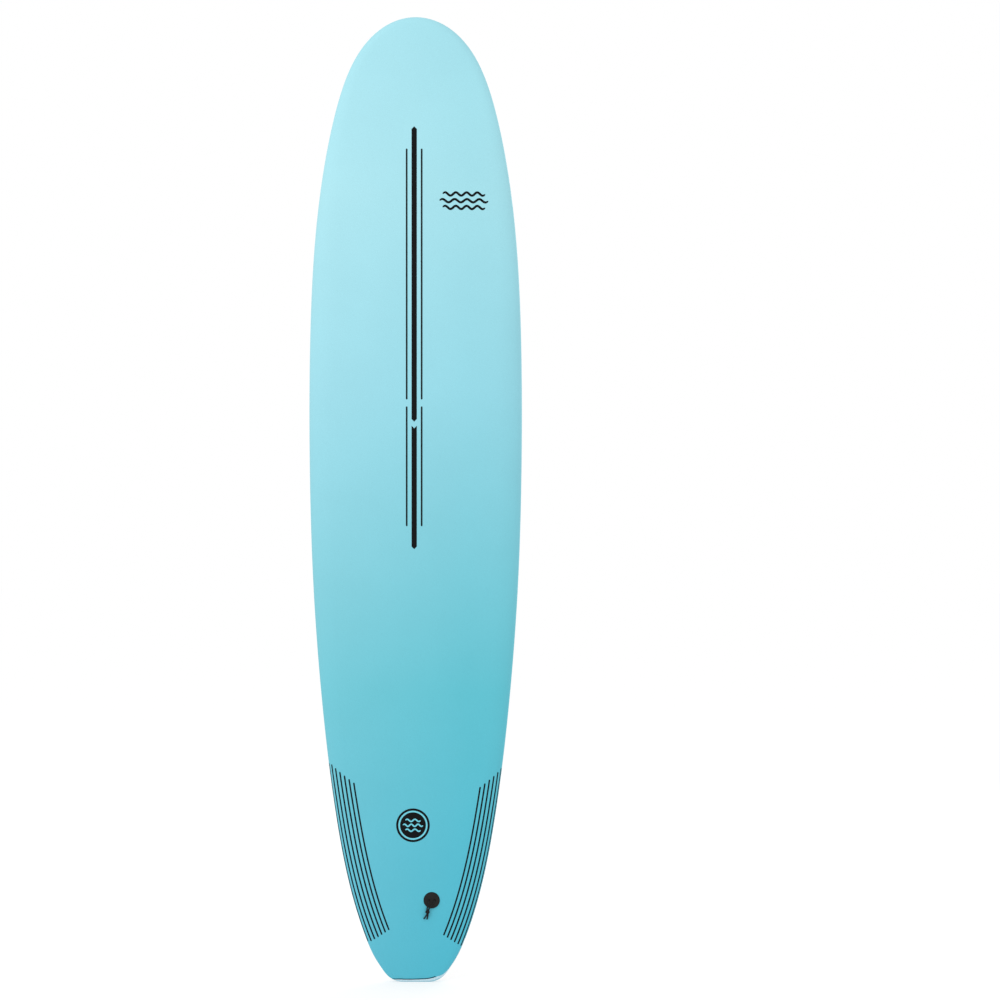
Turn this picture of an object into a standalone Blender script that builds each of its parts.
"""Soft-top longboard, 9 ft 0 in, with three empty fin boxes and a leash plug.

The board stands on its tail: nose up along +Z, deck facing -Y, bottom facing +Y.
The origin is the middle of the flat tail end face. Units are metres.
"""

import math

import bmesh
import bpy
import numpy as np
from mathutils import Matrix, Vector

MM = 0.001

# ---------------------------------------------------------------- driving dimensions
LENGTH = 2743.2 * MM
WIDTH = 609.6 * MM
THICKNESS = 88.9 * MM
NOSE_ROCKER = 120 * MM
TAIL_ROCKER = 62 * MM
ROCKER_POWER = 2.2
FLAT_SPOT = 1250 * MM  # height above the tail where the bottom runs straight
DECK_CROWN = 16 * MM  # how far the deck arches over the full width

# Half width as a share of WIDTH / 2, at a distance from the nose as a share of LENGTH.
OUTLINE = (
    (0, 0),
    (0.0109, 0.311),
    (0.0441, 0.574),
    (0.1064, 0.772),
    (0.231, 0.946),
    (0.356, 0.9965),
    (0.480, 0.9955),
    (0.5836, 0.966),
    (0.708, 0.883),
    (0.8326, 0.742),
    (0.9157, 0.584),
    (0.9573, 0.459),
    (0.978, 0.369),
    (0.986, 0.320),
)
# Thickness as a share of THICKNESS, at a height above the tail as a share of LENGTH.
FOIL = (
    (0, 0.29),
    (0.06, 0.46),
    (0.111, 0.585),
    (0.255, 0.832),
    (0.40, 0.967),
    (0.51, 1.0),
    (0.638, 0.973),
    (0.766, 0.821),
    (0.889, 0.563),
    (0.962, 0.394),
    (1, 0.29),
)

APEX_SHARE = 0.40  # height of the rail's widest line above the bottom, as a share of thickness
DECK_RAIL_SHARE = 0.80  # width of the rounded deck rail, as a share of thickness
BOTTOM_RAIL = 12 * MM  # least width of the rounded bottom rail
BOTTOM_RAIL_SHARE = 0.20
RAIL_POWER = 2.2  # 2 is an ellipse, more is boxier
APEX_BAND = 1 * MM
TAIL_FACE_HEIGHT = 12 * MM
TAIL_FACE_HALF = 30 * MM
TAIL_FACE_FADE = 60 * MM  # along the rail, the face fades into the round rail over this height
TAIL_CORNER_HANDLE = 68 * MM  # half width at which the squash corner's end would meet its side
TAIL_CORNER_REACH = 21.7 * MM  # height over which the corner follows the side's own slope

# How far inside the outline the slick bottom stops, in mm, at a height above the tail as a
# share of LENGTH. The deck foam wraps on to the bottom by this much.
SEAM = (
    (0, 2.5),
    (0.07, 2.5),
    (0.135, 9.5),
    (0.18, 11.3),
    (0.30, 10.6),
    (0.52, 8.7),
    (0.60, 9.0),
    (0.70, 12.0),
    (0.81, 13.2),
    (0.88, 3.0),
    (0.92, 2.5),
    (1, 2.5),
)
SEAM_GAP = 0.5 * MM
GAP = 0.3 * MM  # clearance between touching pieces
DECK_FOAM = 5 * MM
BOTTOM_SHEET = 1.5 * MM
# The deck foam is one sheet. It is three solids end to end, so that each is nearly straight.
DECK_CUTS = (900 * MM, 1800 * MM)

STATIONS = 30  # lengthwise steps, close together at nose and tail
ACROSS = 4  # grid steps on each side of the centre line
DECK_RINGS = (0.03, 0.12, 0.30, 0.60, 1.0)  # shares of the deck rail's width
SEAM_RINGS = (0.12, 0.45)  # shares of the seam's inset
CORE_EDGE = 1 * MM  # the core's lower edge keeps this far inside the sheet's and the foam's
APEX_RINGS = (7, 8)
TIGHT_RINGS = (5, 6, 9)  # rings that an inner surface leaves out, where the rail is tightest
CORE_RINGS = (3, 4)  # further rings that the core leaves out, at the seam

STRINGER_WIDTH = 5 * MM
STRINGER_OFFSET = 110 * MM

# ---------------------------------------------------------------- fin boxes
BOX_LENGTH = 170 * MM
BOX_WIDTH = 35 * MM
BOX_LIP = 3 * MM  # thickness of the plate
BOX_PROUD = 0.4 * MM  # the plate stands this far out of the bottom
BOX_EDGE = 0.6 * MM
BODY_LENGTH = 122 * MM
BODY_WIDTH = 25 * MM
BODY_DEPTH = 23 * MM
SLOT_LENGTH = 92 * MM
SLOT_WIDTH = 6.6 * MM
SLOT_DEPTH = 13 * MM
POCKET_LENGTH = 26 * MM
POCKET_WIDTH = 7.4 * MM
POCKET_PAST = 0.8 * MM  # the pockets run this far past the slot's ends
POCKET_DEPTH = 19 * MM
SCREW_SPACING = 59 * MM
SCREW_OFFSET = 8.5 * MM
SCREW_TILT = math.radians(20)
SCREW_RADIUS = 2.5 * MM
SCREW_LENGTH = 6 * MM
SCREW_SINK = 1.2 * MM
SCREW_HOLE_DEPTH = 11 * MM
SOCKET_RADIUS = 1.45 * MM
SOCKET_DEPTH = 2.6 * MM
# name, x, height above the tail, toe-in, side of each screw (rear, front), +1 is towards +X
FIN_BOXES = (
    ("left", -150 * MM, 481 * MM, 1.6, (1, 1)),
    ("centre", 0.0, 221 * MM, 0.0, (1, -1)),
    ("right", 150 * MM, 481 * MM, -1.6, (-1, -1)),
)

# ---------------------------------------------------------------- leash plug, cap and string
PLUG_X = 45.5 * MM
PLUG_Z = 230 * MM
PLUG_RADIUS = 23 * MM
PLUG_PROUD = 2.2 * MM
PLUG_DISC = 3.6 * MM
PLUG_EDGE = 1.2 * MM
BOSS_RADIUS = 15.5 * MM
BOSS_DEPTH = 17 * MM  # below the disc's face
BARREL_RADIUS = 9 * MM
BARREL_BORE = 6.4 * MM
BARREL_CLEAR = 3 * MM  # the barrel stops this far short of the cap
CAP_RADIUS = 20.5 * MM
CAP_DISC = 3 * MM
CAP_EDGE = 1 * MM
STEM_RADIUS = 6 * MM
STEM_LENGTH = 19 * MM
COIN_SLOT = (16 * MM, 3.6 * MM, 1.6 * MM)
COIN_ANGLE = math.radians(31)
HOLE_SPACING = 16.8 * MM
HOLE_RADIUS = 3.2 * MM
HOLE_STRAIGHT = 2 * MM  # the holes run straight in this far before they turn to meet
ARCH_STEPS = 12
STRING_RADIUS = 2 * MM
STRING_LIFT = 2.5 * MM  # the string turns about a line this far in front of the disc
KNOT_RADII = (6 * MM, 7.5 * MM, 5.2 * MM)
KNOT_GAP = 1.2 * MM
# Right of and above the plug's middle, and height over the disc or deck beneath, in mm.
KNOT_CENTRE = (-11.7, -34.0, 5.8)
STRANDS = {
    "left": ((-8.8, -5.0, 2.9), (-10.4, -14.0, 3.0), (-12.6, -22.0, 5.4)),
    "right": ((6.6, -4.6, 2.9), (0.4, -13.4, 3.0), (-5.4, -21.0, 3.4)),
}
KNOT_ANGLES = {"left": (108, 232), "right": (68, 268)}  # where strand and tail meet the knot
TAIL_ENDS = {"left": (-21.6, -52.0, 2.6), "right": (-13.0, -53.0, 2.6)}


# ---------------------------------------------------------------- shape of the board
def spline(points):
    """A natural cubic spline through (position, value) points."""
    at, value = np.array(points, float).T
    step = np.diff(at)
    slope = np.diff(value) / step
    count = len(at)
    system = np.eye(count)
    right = np.zeros(count)
    for i in range(1, count - 1):
        system[i, i - 1 : i + 2] = step[i - 1], 2 * (step[i - 1] + step[i]), step[i]
        right[i] = 6 * (slope[i] - slope[i - 1])
    bend = np.linalg.solve(system, right)

    def evaluate(position):
        i = int(np.clip(np.searchsorted(at, position) - 1, 0, count - 2))
        a = (at[i + 1] - position) / step[i]
        b = 1 - a
        curve = (a**3 - a) * bend[i] + (b**3 - b) * bend[i + 1]
        return float(a * value[i] + b * value[i + 1] + curve * step[i] ** 2 / 6)

    return evaluate


# The outline runs against the square root of the distance, so the nose is round.
outline_share = spline([(math.sqrt(at), share) for at, share in OUTLINE])
foil_share = spline(FOIL)


def slope(surface, z):
    step = 1 * MM
    return (surface(z + step) - surface(z - step)) / (2 * step)


def half_width(z):
    return WIDTH / 2 * outline_share(math.sqrt(max(0.0, 1 - z / LENGTH)))


def thickness(z):
    return THICKNESS * foil_share(min(max(z / LENGTH, 0.0), 1.0))


def rocker(z):
    """How far the bottom has lifted towards the deck side at this height."""
    if z < FLAT_SPOT:
        return TAIL_ROCKER * ((FLAT_SPOT - z) / FLAT_SPOT) ** ROCKER_POWER
    return NOSE_ROCKER * ((z - FLAT_SPOT) / (LENGTH - FLAT_SPOT)) ** ROCKER_POWER


def apex(z):
    """Y of the rail's widest line. It is 0 at the tail end, where the origin lies."""
    lift = TAIL_ROCKER + APEX_SHARE * thickness(0)
    return lift - rocker(z) - APEX_SHARE * thickness(z)


def apex_band(z):
    """Height of the upright band on the rail, which widens into the tail end face."""
    fade = min(max(z / TAIL_FACE_FADE, 0.0), 1.0)
    fade = fade * fade * (3 - 2 * fade)
    return TAIL_FACE_HEIGHT + (APEX_BAND - TAIL_FACE_HEIGHT) * fade


def rounding(share):
    """Profile of a rounded rail: 0 at the outline, 1 where the rail meets the flat."""
    return (1 - (1 - min(share, 1.0)) ** RAIL_POWER) ** (1 / RAIL_POWER)


def deck_y(x, z, share=1.0):
    rise = (1 - APEX_SHARE) * thickness(z) - apex_band(z) / 2
    crown = DECK_CROWN * (x / (WIDTH / 2)) ** 2
    return apex(z) - apex_band(z) / 2 - rounding(share) * (rise - crown)


def bottom_y(z, share=1.0):
    fall = APEX_SHARE * thickness(z) - apex_band(z) / 2
    return apex(z) + apex_band(z) / 2 + rounding(share) * fall


def deck_rail(z):
    return DECK_RAIL_SHARE * thickness(z)


def bottom_rail(z):
    return BOTTOM_RAIL + BOTTOM_RAIL_SHARE * thickness(z)


def seam_inset(z):
    shares, depths = zip(*SEAM)
    return float(np.interp(z / LENGTH, shares, depths)) * MM


# ---------------------------------------------------------------- grid of the board
def bezier(a, b, c, d, t):
    return a * (1 - t) ** 3 + 3 * b * t * (1 - t) ** 2 + 3 * c * t * t * (1 - t) + d * t**3


def right_outline():
    """Plan points (x, z) up the right side, from the tail's centre to the nose tip."""
    heights = [
        LENGTH / 2 * (1 - math.cos(math.pi * i / STATIONS)) for i in range(STATIONS + 1)
    ]
    heights = [z for z in heights if z > 50 * MM]
    side_foot = (1 - OUTLINE[-1][0]) * LENGTH
    foot = half_width(side_foot)
    widening = TAIL_CORNER_REACH * slope(half_width, side_foot)
    handles = [
        (TAIL_FACE_HALF, 0.0),
        (TAIL_CORNER_HANDLE, 0.0),
        (foot - widening, side_foot - TAIL_CORNER_REACH),
        (foot, side_foot),
    ]
    corner = [
        tuple(bezier(*axis, t) for axis in zip(*handles)) for t in (0.25, 0.5, 0.75, 1)
    ]
    end = [(0.0, 0.0), (TAIL_FACE_HALF / 2, 0.0), (TAIL_FACE_HALF, 0.0)]
    sides = [(half_width(z), z) for z in heights[:-1]]
    return [*end, *corner, *sides, (0.0, LENGTH)]


def inward_normals(plan):
    """Unit normals of the closed plan outline, pointing into the board."""
    normals = []
    for i, (x, z) in enumerate(plan):
        ahead, behind = plan[(i + 1) % len(plan)], plan[i - 1]
        tangent = Vector((ahead[0] - behind[0], ahead[1] - behind[1])).normalized()
        normals.append((-tangent.y, tangent.x))
    return normals


def inset(plan, normals, depths):
    return [
        (x + nx * depth, z + nz * depth)
        for (x, z), (nx, nz), depth in zip(plan, normals, depths)
    ]


def grid_rows(ring, right_count):
    """Rows of (column, ring index or plan point) that fill a ring with quads."""
    total = 2 * (right_count - 1)
    last = right_count - 1

    def at(index, column):
        return index if column >= 0 else (total - index) % total

    rail = range(ACROSS, last - ACROSS + 1)
    foot, head = ring[rail[0]][1], ring[rail[-1]][1]
    rows = []
    for index in rail:
        up = (ring[index][1] - foot) / (head - foot)
        row = []
        for column in range(-ACROSS, ACROSS + 1):
            low, high = at(abs(column), column), at(last - abs(column), column)
            if index == rail[0]:
                row.append(low)
            elif index == rail[-1]:
                row.append(high)
            elif abs(column) == ACROSS:
                row.append(at(index, column))
            else:
                over = column / ACROSS
                x = over * ring[index][0]
                x += (1 - up) * (ring[low][0] - over * ring[rail[0]][0])
                x += up * (ring[high][0] - over * ring[rail[-1]][0])
                z = ring[index][1]
                z += (1 - up) * (ring[low][1] - foot) + up * (ring[high][1] - head)
                row.append((x, z))
        rows.append(row)
    return rows


def split(quad):
    """Two triangles, cut the same way in every layer, so that layers stay parallel."""
    a, b, c, d = quad
    return [(a, b, c), (a, c, d)]


class Board:
    """The outer surface as points and faces, and the same faces set in by a depth."""

    def __init__(self):
        right = right_outline()
        left = [(-x, z) for x, z in right[-2:0:-1]]
        self.plan = right + left
        self.count = len(self.plan)
        self.normals = inward_normals(self.plan)
        self.points = []
        self.add_rings()
        self.bottom_faces = self.fill(0, len(right), bottom_side=True)
        self.deck_faces = self.fill(self.rings - 1, len(right), bottom_side=False)
        self.point_normals = self.smooth_normals()

    def add_ring(self, depths, height):
        for (x, z), depth, (_, outline_z) in zip(
            inset(self.plan, self.normals, depths), depths, self.plan
        ):
            self.points.append(Vector((x, height(x, z, depth, outline_z), z)))

    def add_rings(self):
        """Rings from the flat of the bottom, round the rail, to the flat of the deck."""
        bottom_width = [bottom_rail(z) for _, z in self.plan]
        deck_width = [deck_rail(z) for _, z in self.plan]

        def on_bottom(x, z, depth, outline_z):
            return bottom_y(z, depth / bottom_rail(outline_z))

        def on_deck(x, z, depth, outline_z):
            return deck_y(x, z, depth / deck_rail(outline_z))

        seam = [seam_inset(z) for _, z in self.plan]
        edge = [depth + SEAM_GAP for depth in seam]
        bottom_rings = [
            bottom_width,
            [(wide + narrow) / 2 for wide, narrow in zip(bottom_width, edge)],
            [max(depth, DECK_FOAM + GAP) + CORE_EDGE for depth in edge],
            edge,
            seam,
            [SEAM_RINGS[1] * depth for depth in seam],
            [SEAM_RINGS[0] * depth for depth in seam],
            [0.0] * self.count,
        ]
        for depths in bottom_rings:
            self.add_ring(depths, on_bottom)
        self.sheet_ring, self.seam_ring = 3, 4
        for share in (0.0, *DECK_RINGS):
            self.add_ring([share * width for width in deck_width], on_deck)
        self.rings = len(bottom_rings) + len(DECK_RINGS) + 1

    def band(self, first, last, left_out=()):
        """Faces between neighbouring rings, from one ring to another."""
        kept = [ring for ring in range(first, last + 1) if ring not in left_out]
        faces = []
        for ring, ring_above in zip(kept, kept[1:]):
            low, high = ring * self.count, ring_above * self.count
            for i in range(self.count):
                ahead = (i + 1) % self.count
                faces += split((low + i, low + ahead, high + ahead, high + i))
        return faces

    def fill(self, ring, right_count, bottom_side):
        """Faces over the flat inside a ring."""
        start = ring * self.count
        outline = [(p.x, p.z) for p in self.points[start : start + self.count]]
        rows = []
        for row in grid_rows(outline, right_count):
            ids = []
            for entry in row:
                if isinstance(entry, tuple):
                    x, z = entry
                    y = bottom_y(z) if bottom_side else deck_y(x, z)
                    self.points.append(Vector((x, y, z)))
                    entry = len(self.points) - 1 - start
                ids.append(entry + start)
            rows.append(ids)
        faces = []
        for low, high in zip(rows, rows[1:]):
            for c in range(2 * ACROSS):
                quad = (low[c], low[c + 1], high[c + 1], high[c])
                faces += [face[::-1] for face in split(quad)] if bottom_side else split(quad)
        return faces

    def all_faces(self, left_out=()):
        return self.bottom_faces + self.band(0, self.rings - 1, left_out) + self.deck_faces

    def smooth_normals(self):
        mesh = bpy.data.meshes.new("board_shape")
        mesh.from_pydata(self.points, [], self.all_faces())
        normals = [vertex.normal.copy() for vertex in mesh.vertices]
        bpy.data.meshes.remove(mesh)
        # The upright band on the rail is set straight in, so its two edges stay apart.
        for ring in APEX_RINGS:
            for i, (x, z) in enumerate(self.normals):
                normals[ring * self.count + i] = Vector((-x, 0, -z))
        return normals

    def set_in(self, depth):
        """The points moved inwards by a depth, which may differ from point to point."""
        depths = depth if isinstance(depth, list) else [depth] * len(self.points)
        return [
            point - normal * size
            for point, normal, size in zip(self.points, self.point_normals, depths)
        ]

    def shell(self, outer_faces, inner_faces, depth, rim_ring, rim_outwards):
        """Closed solid between the surface and faces set in by a depth."""
        points = self.points + self.set_in(depth)
        offset = len(self.points)
        solid = list(outer_faces)
        solid += [tuple(i + offset for i in face[::-1]) for face in inner_faces]
        start = rim_ring * self.count
        for i in range(self.count):
            a, b = start + i, start + (i + 1) % self.count
            quad = (a, a + offset, b + offset, b)
            solid.append(quad if rim_outwards else quad[::-1])
        return points, solid

    def foam_depths(self):
        """The deck foam thins to the bottom sheet's thickness where the two meet."""
        seam = range(self.seam_ring * self.count, (self.seam_ring + 1) * self.count)
        return [BOTTOM_SHEET if i in seam else DECK_FOAM for i in range(len(self.points))]

    def core(self):
        """Closed solid inside both skins."""
        bottom_points = set(range(self.sheet_ring * self.count))
        bottom_points |= {i for face in self.bottom_faces for i in face}
        depths = [
            (BOTTOM_SHEET if i in bottom_points else depth) + GAP
            for i, depth in enumerate(self.foam_depths())
        ]
        return self.set_in(depths), self.all_faces(CORE_RINGS + TIGHT_RINGS)


# ---------------------------------------------------------------- making objects
def material(name, colour, roughness, metallic=0.0):
    made = bpy.data.materials.new(name)
    made.use_nodes = True
    shader = made.node_tree.nodes["Principled BSDF"]
    shader.inputs["Base Color"].default_value = (*colour, 1)
    shader.inputs["Roughness"].default_value = roughness
    shader.inputs["Metallic"].default_value = metallic
    return made


def add(name, mesh, finish=None, place=None, smooth_angle=math.radians(35)):
    obj = bpy.data.objects.new(name, mesh)
    bpy.context.scene.collection.objects.link(obj)
    if place is not None:
        obj.matrix_world = place
    if finish is not None:
        mesh.materials.append(finish)
        mesh.shade_smooth()
        mesh.set_sharp_from_angle(angle=smooth_angle)
    return obj


def mesh_of(name, points, faces):
    """A mesh with no loose points and its faces pointing out."""
    shape = bmesh.new()
    vertices = [shape.verts.new(point) for point in points]
    for face in faces:
        shape.faces.new([vertices[i] for i in face])
    loose = [vertex for vertex in shape.verts if not vertex.link_faces]
    bmesh.ops.delete(shape, geom=loose, context="VERTS")
    bmesh.ops.recalc_face_normals(shape, faces=shape.faces)
    mesh = bpy.data.meshes.new(name)
    shape.to_mesh(mesh)
    shape.free()
    return mesh


def stadium(length, width, steps):
    """Points round a shape with straight sides and half-round ends, long along Y."""
    radius, straight = width / 2, (length - width) / 2
    points = []
    for end in (1, -1):
        for i in range(steps + 1):
            angle = math.pi * i / steps
            points.append(
                (end * radius * math.cos(angle), end * (straight + radius * math.sin(angle)))
            )
    if straight == 0:
        points = [p for i, p in enumerate(points) if i not in (steps, 2 * steps + 1)]
    return points


def stack(name, levels, steps=12):
    """A solid through stadium outlines (length, width, height), top level last."""
    points, faces = [], []
    for length, width, height in levels:
        points += [(x, y, height) for x, y in stadium(length, width, steps)]
    count = len(points) // len(levels)
    faces.append(tuple(reversed(range(count))))
    for level in range(len(levels) - 1):
        low, high = level * count, (level + 1) * count
        for i in range(count):
            ahead = (i + 1) % count
            faces.append((low + i, low + ahead, high + ahead, high + i))
    faces.append(tuple(range(len(points) - count, len(points))))
    return mesh_of(name, points, faces)


def prism(name, length, width, low, high):
    """A straight-sided solid with half-round ends."""
    return stack(name, [(length, width, low), (length, width, high)], steps=6)


def round_stack(name, levels, steps=16):
    """A turned solid through circles (radius, height), top level last."""
    return stack(name, [(2 * r, 2 * r, height) for r, height in levels], steps)


def box_mesh(name, low, high):
    corners = [
        (x, y, z) for x in (low[0], high[0]) for y in (low[1], high[1]) for z in (low[2], high[2])
    ]
    faces = [(0, 1, 3, 2), (4, 6, 7, 5), (0, 4, 5, 1), (2, 3, 7, 6), (0, 2, 6, 4), (1, 5, 7, 3)]
    return mesh_of(name, corners, faces)


def helper(name, mesh, place=None):
    """A cutter: it stays out of the model."""
    obj = add(name, mesh, place=place)
    obj.hide_render = True
    obj.display_type = "WIRE"
    return obj


def boolean(obj, other, operation="DIFFERENCE"):
    cut = obj.modifiers.new(f"{operation.lower()} {other.name}", "BOOLEAN")
    cut.operation = operation
    cut.solver = "EXACT"
    cut.object = other


def smooth_route(points, spacing):
    """Points along a smooth curve through the route's own points."""
    route = [Vector(point) for point in points]
    ends = [2 * route[0] - route[1], *route, 2 * route[-1] - route[-2]]
    made = [route[0]]
    for i in range(1, len(ends) - 2):
        before, start, end, after = ends[i - 1 : i + 3]
        steps = max(1, round((end - start).length / spacing))
        for step in range(1, steps + 1):
            t = step / steps
            made.append(
                0.5
                * (
                    2 * start
                    + (end - before) * t
                    + (2 * before - 5 * start + 4 * end - after) * t * t
                    + (3 * start - before - 3 * end + after) * t**3
                )
            )
    return made


def tube(name, points, radius, place, finish=None):
    """A round cord along points, with flat closed ends."""
    curve = bpy.data.curves.new(name, "CURVE")
    curve.dimensions = "3D"
    curve.bevel_depth = radius
    curve.bevel_resolution = 2
    curve.use_fill_caps = True
    line = curve.splines.new("POLY")
    line.points.add(len(points) - 1)
    for point, place_of in zip(line.points, points):
        point.co = (*place_of, 1)
    obj = bpy.data.objects.new(name, curve)
    bpy.context.scene.collection.objects.link(obj)
    obj.matrix_world = place
    if finish is not None:
        curve.materials.append(finish)
    return obj


# ---------------------------------------------------------------- places on the board
def bottom_frame(x, z, turn=0.0):
    """Frame on the bottom: local Z out of the bottom, local Y towards the nose."""
    up = Vector((0, slope(bottom_y, z), 1)).normalized()
    across = Vector((-1, 0, 0))
    out = across.cross(up)
    frame = Matrix((across, up, out)).transposed().to_4x4()
    return Matrix.Translation((x, bottom_y(z), z)) @ frame @ Matrix.Rotation(turn, 4, "Z")


def plug_frame():
    """Frame of the leash plug: local Z out of the deck, square to the bottom sheet."""
    bottom = bottom_frame(PLUG_X, PLUG_Z)
    out = -bottom.col[2].to_3d()
    across = Vector((1, 0, 0))
    up = out.cross(across)
    frame = Matrix((across, up, out)).transposed().to_4x4()
    through = (deck_y(PLUG_X, PLUG_Z) - bottom_y(PLUG_Z)) / out.y
    face = bottom.translation + out * (through + PLUG_PROUD)
    return Matrix.Translation(face) @ frame


# ---------------------------------------------------------------- sub-parts
def make_blank(board, paint):
    """The two skins, and the core and stringers that fill them."""
    seam, top = board.seam_ring, board.rings - 1
    foam_out = board.band(seam, top) + board.deck_faces
    foam_in = board.band(seam, top, TIGHT_RINGS) + board.deck_faces
    points, faces = board.shell(foam_out, foam_in, board.foam_depths(), seam, True)
    skins = {}
    ends = (-WIDTH, *DECK_CUTS, LENGTH + WIDTH)
    for where, low, high in zip(("tail", "middle", "nose"), ends, ends[1:]):
        name = f"deck_skin_{where}"
        skins[name] = add(name, mesh_of(name, points, faces), paint["foam"])
        length = box_mesh(
            f"{name}_length", (-WIDTH, -WIDTH, low + GAP / 2), (WIDTH, WIDTH, high - GAP / 2)
        )
        boolean(skins[name], helper(f"{name}_length", length), "INTERSECT")
    sheet_faces = board.bottom_faces + board.band(0, board.sheet_ring)
    points, faces = board.shell(
        sheet_faces, sheet_faces, BOTTOM_SHEET, board.sheet_ring, False
    )
    skins["bottom_skin"] = add(
        "bottom_skin", mesh_of("bottom_skin", points, faces), paint["slick"]
    )

    half = STRINGER_WIDTH / 2
    edge = WIDTH
    planks = {
        "core_left_outer": (-edge, -STRINGER_OFFSET - half - GAP),
        "stringer_left": (-STRINGER_OFFSET - half, -STRINGER_OFFSET + half),
        "core_left_inner": (-STRINGER_OFFSET + half + GAP, -half - GAP),
        "stringer_centre": (-half, half),
        "core_right_inner": (half + GAP, STRINGER_OFFSET - half - GAP),
        "stringer_right": (STRINGER_OFFSET - half, STRINGER_OFFSET + half),
        "core_right_outer": (STRINGER_OFFSET + half + GAP, edge),
    }
    core = board.core()
    inner = {}
    for name, (low, high) in planks.items():
        finish = paint["plywood"] if name.startswith("stringer") else paint["bead_foam"]
        inner[name] = add(name, mesh_of(name, *core), finish)
        side = box_mesh(f"{name}_side", (low, -WIDTH, -WIDTH), (high, WIDTH, LENGTH + WIDTH))
        boolean(inner[name], helper(f"{name}_side", side), "INTERSECT")
    return skins, inner


def make_fin_box(name, x, z, toe_in, screw_sides, paint):
    """A fin box with its two grub screws, and the pocket that they sit in."""
    place = bottom_frame(x, z, math.radians(toe_in))
    top = BOX_PROUD
    lip = top - BOX_LIP
    foot = top - BODY_DEPTH
    levels = [
        (BODY_LENGTH - 2 * BOX_EDGE, BODY_WIDTH - 2 * BOX_EDGE, foot),
        (BODY_LENGTH, BODY_WIDTH, foot + BOX_EDGE),
        (BODY_LENGTH, BODY_WIDTH, lip),
        (BOX_LENGTH, BOX_WIDTH, lip),
        (BOX_LENGTH, BOX_WIDTH, top - BOX_EDGE),
        (BOX_LENGTH - 2 * BOX_EDGE, BOX_WIDTH - 2 * BOX_EDGE, top),
    ]
    box = add(f"fin_box_{name}", stack(f"fin_box_{name}", levels), paint["nylon"], place)

    above = top + 5 * MM
    slot = prism("slot", SLOT_LENGTH, SLOT_WIDTH, top - SLOT_DEPTH, above)
    boolean(box, helper(f"fin_box_{name}_slot", slot, place))
    for end in (-1, 1):
        middle = (SLOT_LENGTH - POCKET_LENGTH) / 2 + POCKET_PAST
        shift = Matrix.Translation((0, end * middle, 0))
        pocket = prism("pocket", POCKET_LENGTH, POCKET_WIDTH, top - POCKET_DEPTH, above)
        boolean(box, helper(f"fin_box_{name}_pocket_{end}", pocket, place @ shift))

    # Local X runs towards -X of the board, so a screw's side changes sign.
    for end, side, where in ((-1, screw_sides[0], "rear"), (1, screw_sides[1], "front")):
        lean = Matrix.Rotation(-side * SCREW_TILT, 4, "Y")
        at = Matrix.Translation((-side * SCREW_OFFSET, end * SCREW_SPACING / 2, top))
        hole = round_stack(
            "hole", [(SCREW_RADIUS + GAP, -SCREW_HOLE_DEPTH), (SCREW_RADIUS + GAP, 3 * MM)], 8
        )
        boolean(box, helper(f"fin_box_{name}_hole_{where}", hole, place @ at @ lean))
        make_screw(f"fin_screw_{name}_{where}", place @ at @ lean, paint["steel"])

    room = [
        (BODY_LENGTH + 2 * GAP, BODY_WIDTH + 2 * GAP, foot - GAP),
        (BODY_LENGTH + 2 * GAP, BODY_WIDTH + 2 * GAP, lip - GAP),
        (BOX_LENGTH + 2 * GAP, BOX_WIDTH + 2 * GAP, lip - GAP),
        (BOX_LENGTH + 2 * GAP, BOX_WIDTH + 2 * GAP, above),
    ]
    return helper(f"fin_box_{name}_room", stack("room", room), place)


def make_screw(name, place, finish):
    """A grub screw with a hexagon socket, its head a little below the plate."""
    chamfer = 0.5 * MM
    levels = [
        (SCREW_RADIUS - 2 * chamfer, -SCREW_LENGTH),
        (SCREW_RADIUS, chamfer * 2 - SCREW_LENGTH),
        (SCREW_RADIUS, -chamfer),
        (SCREW_RADIUS - chamfer, 0),
    ]
    seat = place @ Matrix.Translation((0, 0, -SCREW_SINK))
    screw = add(name, round_stack(name, levels, 8), finish, seat)
    socket = round_stack("socket", [(SOCKET_RADIUS, -SOCKET_DEPTH), (SOCKET_RADIUS, 1 * MM)], 3)
    boolean(screw, helper(f"{name}_socket", socket, seat))


def string_arch():
    """Route of the string inside the plug: in at one hole, round, and out at the other."""
    reach = HOLE_SPACING / 2
    turns = [math.pi * i / ARCH_STEPS for i in range(ARCH_STEPS + 1)]
    return [
        (-reach * math.cos(turn), 0, -HOLE_STRAIGHT - reach * math.sin(turn)) for turn in turns
    ]


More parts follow.
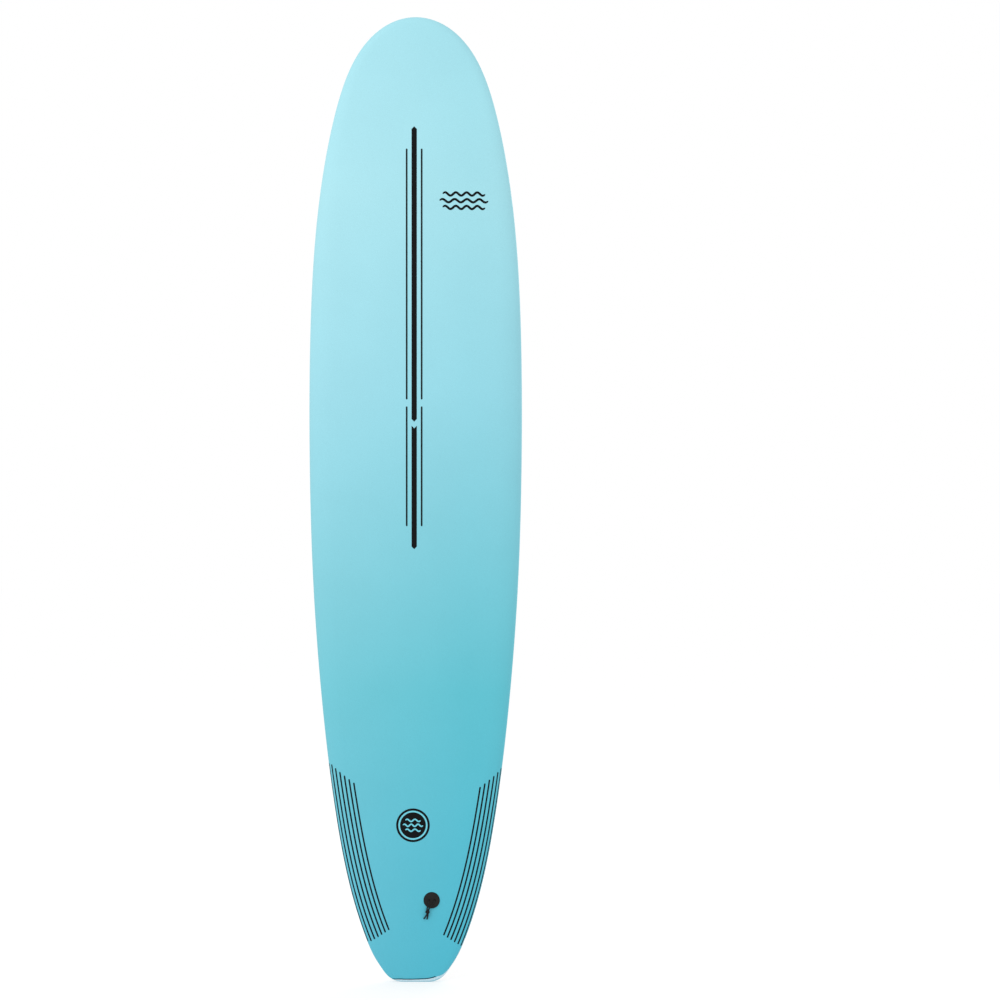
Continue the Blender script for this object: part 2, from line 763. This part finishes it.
def make_leash_plug(paint):
    """The plug under the deck, its screwed cap on the bottom, and their room."""
    place = plug_frame()
    bottom = place.inverted() @ bottom_frame(PLUG_X, PLUG_Z).translation
    skin_height = bottom.z
    barrel_foot = skin_height + BARREL_CLEAR
    levels = [
        (BARREL_RADIUS, barrel_foot),
        (BARREL_RADIUS, -BOSS_DEPTH),
        (BOSS_RADIUS, -BOSS_DEPTH),
        (BOSS_RADIUS, -PLUG_DISC),
        (PLUG_RADIUS, -PLUG_DISC),
        (PLUG_RADIUS, -PLUG_EDGE),
        (PLUG_RADIUS - PLUG_EDGE, 0),
    ]
    plug = add("leash_plug", round_stack("leash_plug", levels), paint["nylon"], place)
    arch = string_arch()
    channel_route = [(arch[0][0], 0, 3 * MM), *arch, (arch[-1][0], 0, 3 * MM)]
    channel_curve = tube("channel_curve", channel_route, HOLE_RADIUS, place)
    bpy.context.view_layer.update()
    channel_mesh = bpy.data.meshes.new_from_object(channel_curve)
    bpy.data.objects.remove(channel_curve)
    boolean(plug, helper("leash_plug_channel", channel_mesh, place))
    bore_top = barrel_foot + STEM_LENGTH + 1 * MM
    bore = round_stack("bore", [(BARREL_BORE, barrel_foot - 1 * MM), (BARREL_BORE, bore_top)])
    boolean(plug, helper("leash_plug_bore", bore, place))

    cap_seat = place @ Matrix.Translation((0, 0, skin_height - GAP))
    levels = [
        (CAP_RADIUS - CAP_EDGE, -CAP_DISC),
        (CAP_RADIUS, CAP_EDGE - CAP_DISC),
        (CAP_RADIUS, 0),
        (STEM_RADIUS, 0),
        (STEM_RADIUS, STEM_LENGTH),
    ]
    cap = add("leash_plug_cap", round_stack("leash_plug_cap", levels), paint["nylon"], cap_seat)
    slot_length, slot_width, slot_depth = COIN_SLOT
    slot = box_mesh(
        "coin_slot",
        (-slot_length / 2, -slot_width / 2, -CAP_DISC - 1 * MM),
        (slot_length / 2, slot_width / 2, slot_depth - CAP_DISC),
    )
    turned = cap_seat @ Matrix.Rotation(COIN_ANGLE, 4, "Z")
    boolean(cap, helper("leash_plug_cap_slot", slot, turned))

    room = [
        (BARREL_RADIUS + GAP, skin_height - 5 * MM),
        (BARREL_RADIUS + GAP, -BOSS_DEPTH - GAP),
        (BOSS_RADIUS + GAP, -BOSS_DEPTH - GAP),
        (BOSS_RADIUS + GAP, -PLUG_DISC - GAP),
        (PLUG_RADIUS + GAP, -PLUG_DISC - GAP),
        (PLUG_RADIUS + GAP, 8 * MM),
    ]
    return place, helper("leash_plug_room", round_stack("room", room), place)


def over_surface(place, right, up, height):
    """A point in the plug's frame, at a height over its disc or over the deck outside it."""
    if math.hypot(right, up) < PLUG_RADIUS:
        return Vector((right, up, height))
    point, out = place @ Vector((right, up, 0)), place.col[2]
    return Vector((right, up, (deck_y(point.x, point.z) - point.y) / out.y + height))


def at_knot(angle, clearance):
    """A point beside the knot, measured from the knot's middle."""
    across, up = math.cos(math.radians(angle)), math.sin(math.radians(angle))
    reach = 1 / math.hypot(across / KNOT_RADII[0], up / KNOT_RADII[1]) + clearance
    return Vector((across * reach, up * reach, 0))


def make_leash_string(place, finish):
    """The cord loop: fixed inside the plug, hanging from its two holes to a knot."""
    spacing = 2.2 * STRING_RADIUS
    mouth = STRING_LIFT - STRING_RADIUS - GAP
    arch = string_arch()
    anchor = [(arch[0][0], 0, mouth), *arch, (arch[-1][0], 0, mouth)]
    tube("leash_string_anchor", anchor, STRING_RADIUS, place, finish)

    def point(measures):
        return over_surface(place, *(size * MM for size in measures))

    centre = point(KNOT_CENTRE)
    for side, hole in (("left", -HOLE_SPACING / 2), ("right", HOLE_SPACING / 2)):
        strand_angle, tail_angle = KNOT_ANGLES[side]
        strand = [Vector((hole, 0, STRING_LIFT)), *map(point, STRANDS[side])]
        strand += [centre + at_knot(strand_angle, KNOT_GAP)]
        route = smooth_route(strand, spacing)
        tube(f"leash_string_{side}", route, STRING_RADIUS, place, finish)
        start = centre + at_knot(tail_angle, KNOT_GAP)
        lead = centre + at_knot(tail_angle, KNOT_GAP + STRING_RADIUS) + Vector((0, 0, -0.8 * MM))
        route = smooth_route([start, lead, point(TAIL_ENDS[side])], spacing)
        tube(f"leash_string_tail_{side}", route, STRING_RADIUS, place, finish)
    knot = bmesh.new()
    bmesh.ops.create_uvsphere(knot, u_segments=14, v_segments=9, radius=1)
    bmesh.ops.scale(knot, vec=KNOT_RADII, verts=knot.verts)
    mesh = bpy.data.meshes.new("leash_string_knot")
    knot.to_mesh(mesh)
    knot.free()
    add("leash_string_knot", mesh, finish, place @ Matrix.Translation(centre))


def main():
    for obj in list(bpy.data.objects):
        bpy.data.objects.remove(obj)
    paint = {
        "foam": material("blue deck foam", (0.28, 0.66, 0.76), 0.75),
        "slick": material("white slick bottom", (0.80, 0.77, 0.74), 0.32),
        "bead_foam": material("white bead foam", (0.86, 0.87, 0.88), 0.85),
        "plywood": material("plywood", (0.52, 0.34, 0.19), 0.7),
        "nylon": material("black nylon", (0.021, 0.020, 0.020), 0.45),
        "steel": material("dark screw steel", (0.24, 0.24, 0.25), 0.4, 1.0),
        "cord": material("black cord", (0.012, 0.012, 0.013), 0.8),
    }
    skins, inner = make_blank(Board(), paint)
    for name, x, z, toe_in, screw_sides in FIN_BOXES:
        room = make_fin_box(name, x, z, toe_in, screw_sides, paint)
        boolean(skins["bottom_skin"], room)
        if name == "centre":
            cut = ("core_left_inner", "stringer_centre", "core_right_inner")
        else:
            cut = (f"core_{name}_outer",)
        for node in cut:
            boolean(inner[node], room)
    place, plug_room = make_leash_plug(paint)
    for node in (skins["deck_skin_tail"], skins["bottom_skin"], inner["core_right_inner"]):
        boolean(node, plug_room)
    make_leash_string(place, paint["cord"])


main()
